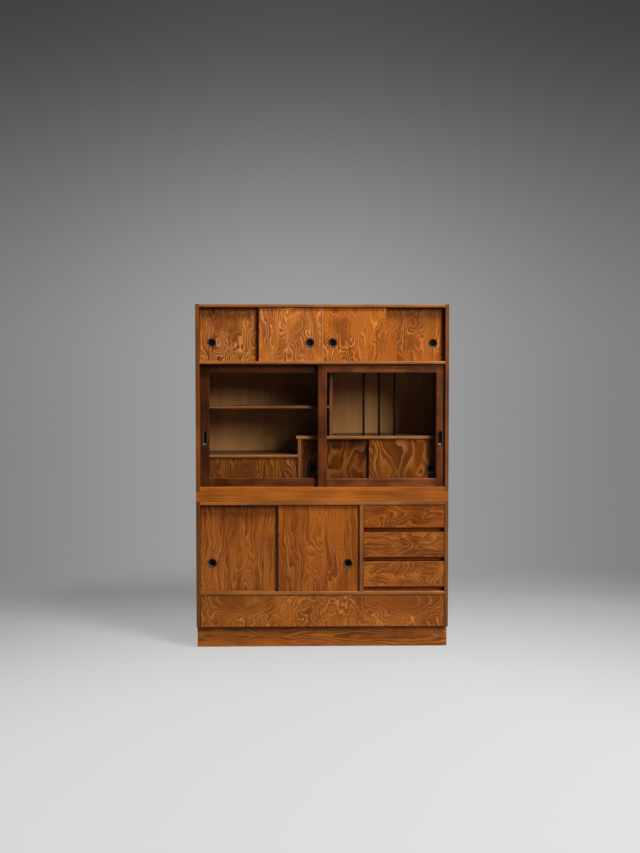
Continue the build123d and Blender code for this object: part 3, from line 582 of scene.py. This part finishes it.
FRONTS = {
    "top_door_1_panel": ("Z", 3.0, (0.70, 0.76, 1.12), {
        **TOP_FIGURE, "dark": 1.2, "pale": 0.95, "mottle": 1.6, "heart": -0.01,
        "eye_across": -0.02, "eye_along": 0.047, "arch_across": 0.012, "arch_along": -0.012}),
    "top_door_2_panel": ("Z", 11.0, (1.0, 1.1, 1.55), {
        **TOP_FIGURE, "dark": 0.7, "pale": 0.6, "heart": 0.035, "eye_rise": -3.6, "eye_shade": 0.5,
        "eye_across": 0.032, "eye_along": 0.045, "arch_across": 0.03, "arch_along": -0.05}),
    "top_door_3_panel": ("Z", 23.0, (0.80, 0.79, 0.80), {
        **TOP_FIGURE, "mottle": 1.8, "heart": -0.041,
        "eye_across": -0.043, "eye_along": 0.040, "arch_across": -0.045, "arch_along": -0.03}),
    "top_door_4_panel": ("Z", 37.0, (0.70, 0.69, 0.62), {
        **TOP_FIGURE, "eye_rise": -2.2,
        "eye_across": 0.012, "eye_along": 0.054, "arch_across": 0.0, "arch_along": -0.04}),
    "lower_door_left_panel": ("Z", 52.0, (0.70, 0.70, 0.66), {
        **TALL_FIGURE, "eye_across": -0.04, "eye_along": 0.12, "arch_across": 0.02, "arch_along": -0.21}),
    "lower_door_right_panel": ("Z", 61.0, (0.72, 0.68, 0.58), {
        **TALL_FIGURE, "eye_across": 0.1, "eye_along": 0.06, "arch_across": -0.005, "arch_along": -0.19}),
    # painted shade: both inner doors behind the glass are much darker copies of the veneer, for the shade in
    # the glazed bay and under the raised shelf
    "inner_door_left_panel": ("Z", 77.0, (0.27, 0.23, 0.18), {
        **INNER_FIGURE, "heart": 0.05, "pale": 1.5, "dark": 1.1, "roll_across": 10.0, "roll_along": 2.2}),
    "inner_door_right_panel": ("Z", 83.0, (0.41, 0.37, 0.33), {
        **INNER_FIGURE, "heart": -0.03, "pale": 1.15, "roll_along": 4.6}),
    "drawer_1_front": ("X", 92.0, (0.58, 0.53, 0.44), {
        **LEVEL_FIGURE, "calm": 0.5, "eye_across": 0.045, "eye_along": -0.15, "eye_width": 0.06,
        "eye_length": 0.07, "eye_rise": -5.0}),
    "drawer_2_front": ("X", 104.0, 0.60, {
        **LEVEL_FIGURE, "side_lines": 60.0, "dark": 0.7, "roll": 1.6, "streaks": 1.0,
        "eye_along": 0.05, "eye_width": 0.02, "eye_length": 0.03, "eye_rise": 1.0,
        "arch_along": -0.16, "arch_width": 0.03, "arch_length": 0.12, "arch_rise": -2.0}),
    "drawer_3_front": ("X", 113.0, (0.80, 0.82, 0.82), {
        **LEVEL_FIGURE, "slant": -26.0, "eye_across": 0.05, "eye_along": -0.13, "eye_length": 0.09,
        "eye_rise": 1.5}),
    "step_drawer_front": ("Z", 127.0, 0.46, {
        **INNER_FIGURE, "side_lines": 75.0, "pale": 0.75, "roll": 2.8, "roll_across": 10.0, "ragged": 0.9,
        "ragged_across": 30.0, "calm": 0.6, "eye_across": -0.02, "eye_width": 0.07, "eye_length": 0.035,
        "eye_rise": -2.0, "eye_shade": 1.1}),
    "long_drawer_front": ("Z", 143.0, (0.80, 0.82, 0.86), {
        **INNER_FIGURE, "side_lines": 8.0, "late": 1.8, "dark": 0.8, "pale": 0.7, "roll": 2.8,
        "roll_across": 12.0, "roll_along": 8.0, "ragged": 0.9, "ragged_across": 28.0, "ragged_along": 20.0,
        "calm": 0.85, "mottle": 0.8, "fibre": 0.006, "flat": 2.0, "eye_shade": 0.9,
        "eye_across": -0.40, "eye_along": 0.06, "eye_width": 0.18, "eye_length": 0.07, "eye_rise": -4.0,
        "arch_across": 0.42, "arch_along": 0.055, "arch_width": 0.18, "arch_length": 0.07,
        "arch_rise": -4.0}),
    "plinth_front": ("X", 149.0, 0.98, {
        **LEVEL_FIGURE, "side_lines": 110.0, "late": 1.2, "pale": 0.4, "dark": 0.6, "roll": 2.0,
        "roll_along": 2.4, "ragged": 0.6, "ragged_along": 6.0, "mottle": 0.9, "streaks": 0.9}),
}


def dress_wood():
    seed = 0.0
    for grain, tones, looks, names in BOARDS:
        for node in names:
            seed += SEED_STEP
            dress(node, solid_board(f"wood_{node}", grain, tones, seed, centre_of(node), **looks))
    for node, (grain, figure_seed, tone, figure) in FRONTS.items():
        dress(node, figured_veneer(node, grain, figure_seed, tone, figure))


# Top divider

DIVIDER_PROUD = 0.002  # in front of the doors beside it
DIVIDER_EDGE = 0.004  # depth of its worked front edge


def draw_back_divider():
    """The divider between the pairs of top doors, its front edge drawn back almost level with the doors."""
    node = nodes["top_divider"]
    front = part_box("top_divider")[0][1]
    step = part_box("top_door_2_panel")[0][1] - DIVIDER_PROUD - front
    form = bmesh.new()
    form.from_mesh(node.data)
    bmesh.ops.remove_doubles(form, verts=form.verts, dist=WELD)
    for corner in form.verts:
        if corner.co.y < front + DIVIDER_EDGE:
            corner.co.y += step
    mesh = node.data.copy()
    form.to_mesh(mesh)
    form.free()
    mesh.name = "top_divider_drawn_back"
    divider = put_in_scene(mesh.name, mesh)
    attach(divider, "case")
    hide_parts("top_divider")


# Pulls

MM_IN_M = 1000
CORNER_STEPS = 16
SHARP_DEGREES = 32
# Back, outer wall, rolled rim, dished ring and finger well of a round pull: radius and depth in millimetres.
ROUND_CUP = [(2 * r, 2 * r, r, d) for r, d in (
    (20.6, 11.2), (21.2, 11.0), (21.6, 10.4), (21.6, 1.35), (22.1, 1.25), (22.45, 0.85), (22.5, 0.5),
    (22.3, 0.15), (21.8, 0.0), (21.0, 0.15), (19.8, 0.8), (18.0, 2.0), (16.0, 3.4), (14.6, 4.5),
    (14.1, 5.2), (14.0, 8.6), (13.7, 9.4), (12.9, 9.9), (11.0, 10.0), (6.0, 10.0))]
ROUND_CHANGES = (13,)  # rings where the next metal starts
# Back, body, flange and sloping finger hollow of a long pull: width, height, corner radius and depth.
FLUSH_CUP = [
    (18.8, 70.8, 1.0, 11.2), (19.8, 71.8, 1.0, 10.8), (19.8, 71.8, 1.0, 1.3), (25.6, 77.6, 1.2, 1.25),
    (26.0, 78.0, 1.4, 0.8), (25.6, 77.6, 1.4, 0.2), (24.8, 76.8, 1.3, 0.0), (18.4, 70.4, 1.6, 0.0),
    (17.4, 69.4, 1.8, 0.35), (16.8, 68.4, 2.0, 1.2), (13.6, 52.0, 2.4, 8.4), (12.6, 50.0, 2.4, 9.3),
    (11.0, 48.0, 2.4, 9.5)]
FLUSH_CHANGES = (9, 10)


def rounded_ring(width, height, radius):
    """Points round a rectangle with rounded corners, as many for every ring."""
    points = []
    for corner in range(4):
        across = (width / 2 - radius) * (1 if corner in (0, 3) else -1)
        up = (height / 2 - radius) * (1 if corner in (0, 1) else -1)
        for step in range(CORNER_STEPS):
            angle = math.pi / 2 * (corner + step / (CORNER_STEPS - 1))
            points.append((across + radius * math.cos(angle), up + radius * math.sin(angle)))
    return points


def sunk_cup(node, rings, changes, finishes):
    """A cup let into a door, from rings of width, height, corner radius and depth, back to floor.

    The rings are in millimetres, and the next finish starts at each ring that changes names.
    """
    low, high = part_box(node)
    middle_x, middle_z = (low[0] + high[0]) / 2, (low[2] + high[2]) / 2
    form = bmesh.new()
    loops = []
    for width, height, radius, depth in rings:
        y = low[1] + depth / MM_IN_M
        loops.append([form.verts.new((middle_x + x / MM_IN_M, y, middle_z + z / MM_IN_M))
                      for x, z in rounded_ring(width, height, radius)])
    for number, (first, second) in enumerate(zip(loops, loops[1:])):
        for n in range(len(first)):
            after = (n + 1) % len(first)
            face = form.faces.new((first[n], first[after], second[after], second[n]))
            face.material_index = sum(number >= change for change in changes)
    form.faces.new(loops[0])
    form.faces.new(loops[-1]).material_index = len(changes)
    bmesh.ops.remove_doubles(form, verts=form.verts, dist=WELD)
    bmesh.ops.recalc_face_normals(form, faces=form.faces)
    mesh = mesh_of(form, f"{node}_turned")
    mesh.polygons.foreach_set("use_smooth", [True] * len(mesh.polygons))
    mesh.set_sharp_from_angle(angle=math.radians(SHARP_DEGREES))
    for finish in finishes:
        mesh.materials.append(finish)
    cup = put_in_scene(f"{node}_turned", mesh)
    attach(cup, node[: -len("_pull")])
    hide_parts(node)


def dress_pulls():
    ring = old_metal("bronzed_ring")
    plate = old_metal("bronzed_plate")
    # worn metal with a painted highlight on the hollow's sloping ends
    slope = old_metal("worn_highlit_slope")
    well = old_metal("blackened_well")
    for node in nodes:
        if node.endswith("sash_pull"):
            sunk_cup(node, FLUSH_CUP, FLUSH_CHANGES, (plate, slope, well))
        elif node.endswith("_pull"):
            sunk_cup(node, ROUND_CUP, ROUND_CHANGES, (ring, well))


# Back panel nails

NAIL_ROW = {"Spacing": 0.085, "Head radius": 0.0024, "Drift": 0.0015, "Seed": 7}
NAIL_INSET = 0.012  # from the panel's edge
NAIL_SIDES = 12
NAIL_TAPER = 0.7
NAIL_HEIGHT = 0.0007


def nail_row_tree(finish):
    """Geometry nodes that set small flat nail heads along a line of edges."""
    tree = bpy.data.node_groups.new("nail_row", "GeometryNodeTree")
    tree.interface.new_socket("Geometry", in_out="INPUT", socket_type="NodeSocketGeometry")
    for label, value in NAIL_ROW.items():
        kind = "NodeSocketInt" if label == "Seed" else "NodeSocketFloat"
        socket = tree.interface.new_socket(label, in_out="INPUT", socket_type=kind)
        socket.default_value = value
    tree.interface.new_socket("Geometry", in_out="OUTPUT", socket_type="NodeSocketGeometry")
    bench = NodeBench(tree)
    given = bench.add("NodeGroupInput").outputs
    curve = bench.add("GeometryNodeMeshToCurve", {"Mesh": given["Geometry"]}).outputs[0]
    values = {"Curve": curve, "Length": given["Spacing"]}
    points = bench.add("GeometryNodeCurveToPoints", values, mode="LENGTH").outputs[0]
    back = bench.times(given["Drift"], -1.0)
    low, high = bench.join(back, 0.0, back), bench.join(given["Drift"], 0.0, given["Drift"])
    values = {0: low, 1: high, "Seed": given["Seed"]}
    drift = bench.add("FunctionNodeRandomValue", values, data_type="FLOAT_VECTOR").outputs[0]
    moved = bench.add("GeometryNodeSetPosition", {"Geometry": points, "Offset": drift}).outputs[0]
    top = bench.times(given["Head radius"], NAIL_TAPER)
    values = {"Vertices": NAIL_SIDES, "Radius Top": top, "Radius Bottom": given["Head radius"],
              "Depth": NAIL_HEIGHT}
    head = bench.add("GeometryNodeMeshCone", values).outputs[0]
    values = {"Points": moved, "Instance": head, "Rotation": (-math.pi / 2, 0.0, 0.0)}
    heads = bench.add("GeometryNodeInstanceOnPoints", values).outputs[0]
    real = bench.add("GeometryNodeRealizeInstances", {0: heads}).outputs[0]
    done = bench.add("GeometryNodeSetMaterial", {"Geometry": real, "Material": finish}).outputs[0]
    bench.feed(bench.add("NodeGroupOutput").inputs[0], done)
    return tree


def nail_back_panels():
    """Rows of nail heads round both back panels, made plain before they join the case."""
    tree = nail_row_tree(old_metal("nail_steel"))
    sockets = {item.name: item.identifier for item in tree.interface.items_tree if item.in_out == "INPUT"}
    rim = bmesh.new()
    for node in ("upper_back_panel", "lower_back_panel"):
        low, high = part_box(node)
        left, right = low[0] + NAIL_INSET, high[0] - NAIL_INSET
        foot, head = low[2] + NAIL_INSET, high[2] - NAIL_INSET
        corners = ((left, foot), (right, foot), (right, head), (left, head))
        points = [rim.verts.new((x, high[1], z)) for x, z in corners]
        for n in range(4):
            rim.edges.new((points[n], points[(n + 1) % 4]))
    row = put_in_scene("nail_line", mesh_of(rim, "nail_line"))
    modifier = row.modifiers.new("nail_row", "NODES")
    modifier.node_group = tree
    for label, value in NAIL_ROW.items():
        modifier[sockets[label]] = value
    graph = bpy.context.evaluated_depsgraph_get()
    shown = row.evaluated_get(graph)
    mesh = bpy.data.meshes.new_from_object(shown, preserve_all_data_layers=True, depsgraph=graph)
    mesh.name = "back_panel_nails"
    bpy.data.objects.remove(row)
    nails = put_in_scene("back_panel_nails", mesh)
    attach(nails, "case")


# Studio

FLOOR_MIDDLE = (0.0, -1.9, 0.0)
FLOOR_RADIUS = 4.4
FLOOR_SIDES = 96
# painted pool of light on the floor: bright near its middle, dimming outwards, shown to the camera as glow
PAINTED_POOL_NEAR = (0.84, 0.84, 0.838, 1)
PAINTED_POOL_FAR = (0.30, 0.30, 0.30, 1)
FLOOR_DIMMING = (1.0, 3.6)
FLOOR_RIM = (2.9, 4.3)
FLOOR_BOUNCE = (0.11, 0.11, 0.108, 1)
FLOOR_SEEN = (0.34, 0.34, 0.335, 1)
FLOOR_GLOW = 0.6
FLOOR_ROUGHNESS = 0.8
FLOOR_GLOSS = 0.1

# Ramps of the studio's air.
WALL_UP = (0.03, 0.42, 0.36, 0.07)
WALL_ASIDE = (0.0, 0.42, 1.0, 0.58)
WALL_MIRRORED = (-0.3, 0.3, 0.01, 1.0)
FILL_ABOVE = (0.2, 1.0, 0.015, 0.2)
FILL_BEHIND = (-0.1, 0.8, 0.0, 0.3)

# Lamps: place, aim, width, power and colour.
LAMPS = {
    "low_right": ((3.4, -4.6, 3.4), (0, 0, 0.9), 2.9, 275, (1, 0.985, 0.96)),
    "high_right": ((2.0, -2.3, 5.2), (0, -0.2, 0.9), 1.4, 350, (1, 0.99, 0.975)),
}

# Camera: focal length and picture height in pixels, place in metres, turns in degrees.
SENSOR_HEIGHT = 36.0
FOCAL_PIXELS = 900
PICTURE_PIXELS = 853
CAMERA_ASIDE = -0.094
CAMERA_AWAY = 4.297  # in front of the case
CAMERA_HEIGHT = 1.216
CAMERA_TILT = 1.947  # downwards
CAMERA_TURN = -1.091


def looking_rays(bench):
    """One for rays that look past the object: from the camera, off metal or through glass."""
    rays = bench.add("ShaderNodeLightPath").outputs
    mirrored = bench.math("MAXIMUM", rays["Is Glossy Ray"], rays["Is Transmission Ray"])
    return bench.math("MAXIMUM", rays["Is Camera Ray"], mirrored), rays["Is Glossy Ray"]


def soft_floor():
    """Round pale floor with a painted pool of light, bright in the middle and dimming outwards, that glows
    to the camera; it keeps a light shadow, and its rim fades out so that any side can be looked at.
    """
    form = bmesh.new()
    bmesh.ops.create_circle(form, cap_ends=True, segments=FLOOR_SIDES, radius=FLOOR_RADIUS)
    bmesh.ops.translate(form, verts=form.verts, vec=FLOOR_MIDDLE)
    mesh = mesh_of(form, "studio_floor")
    floor = put_in_scene("studio_floor", mesh)
    material, bench, shader = new_material("studio_floor")
    where = bench.placed(FLOOR_MIDDLE)
    reach = bench.add("ShaderNodeVectorMath", {0: where}, operation="LENGTH").outputs["Value"]
    # painted light: the pool's colour, dimming with distance from the middle
    pale = bench.tint(bench.fade(reach, *FLOOR_DIMMING), PAINTED_POOL_NEAR, PAINTED_POOL_FAR)
    looking, _ = looking_rays(bench)
    bench.feed(shader.inputs["Base Color"], bench.tint(looking, FLOOR_BOUNCE, FLOOR_SEEN))
    bench.feed(shader.inputs["Roughness"], FLOOR_ROUGHNESS)
    bench.feed(shader.inputs["Specular IOR Level"], FLOOR_GLOSS)
    glow = bench.add("ShaderNodeEmission", {"Color": pale}).outputs[0]
    values = {0: bench.times(looking, FLOOR_GLOW), 1: shader.outputs[0], 2: glow}
    lifted = bench.add("ShaderNodeMixShader", values).outputs[0]
    clear = bench.add("ShaderNodeBsdfTransparent").outputs[0]
    values = {0: bench.fade(reach, *FLOOR_RIM), 1: lifted, 2: clear}
    rim = bench.add("ShaderNodeMixShader", values).outputs[0]
    bench.feed(material.node_tree.nodes["Material Output"].inputs["Surface"], rim)
    mesh.materials.append(material)


def studio_air():
    """Fill light from above and behind, and a grey wall's shade where the camera, glass and metal look."""
    world = bpy.data.worlds.new("studio_air")
    bpy.context.scene.world = world
    world.use_nodes = True
    bench = NodeBench(world.node_tree)
    shown = world.node_tree.nodes["Background"]
    aside, ahead, up = bench.split(bench.add("ShaderNodeTexCoord").outputs["Generated"])
    wall = bench.fade(up, *WALL_UP)
    wall = bench.times(wall, bench.fade(bench.math("ABSOLUTE", aside), *WALL_ASIDE))
    fill = bench.total(bench.fade(up, *FILL_ABOVE), bench.fade(ahead, *FILL_BEHIND))
    looking, mirrored = looking_rays(bench)
    dim = bench.math("MINIMUM", wall, bench.fade(ahead, *WALL_MIRRORED))
    seen = bench.tint(mirrored, wall, dim)
    bench.feed(shown.inputs["Color"], bench.tint(looking, fill, seen))


def lamp(name, place, target, size, power, colour):
    light = bpy.data.lights.new(name, "AREA")
    light.shape = "DISK"
    light.size = size
    light.energy = power
    light.color = colour
    holder = put_in_scene(name, light)
    holder.location = place
    aim = [b - a for a, b in zip(place, target)]
    flat = math.hypot(aim[0], aim[1])
    holder.rotation_euler = (math.atan2(flat, -aim[2]), 0, math.atan2(-aim[0], aim[1]))


def photograph_camera():
    camera = bpy.data.cameras.new("photograph_camera")
    camera.sensor_fit = "VERTICAL"
    camera.sensor_height = SENSOR_HEIGHT
    camera.lens = SENSOR_HEIGHT * FOCAL_PIXELS / PICTURE_PIXELS
    holder = put_in_scene("photograph_camera", camera)
    holder.location = (CAMERA_ASIDE, cad_box[0][1] - CAMERA_AWAY, CAMERA_HEIGHT)
    holder.rotation_euler = (math.radians(90 - CAMERA_TILT), 0, math.radians(CAMERA_TURN))
    bpy.context.scene.camera = holder


def main():
    dress_wood()
    draw_back_divider()
    glass = clear_glass()
    for side in ("left", "right"):
        dress(f"{side}_sash_pane", glass)
    dress_pulls()
    nail_back_panels()
    soft_floor()
    studio_air()
    for name, looks in LAMPS.items():
        lamp(name, *looks)
    photograph_camera()
    bpy.context.scene.view_settings.view_transform = "Standard"


main()
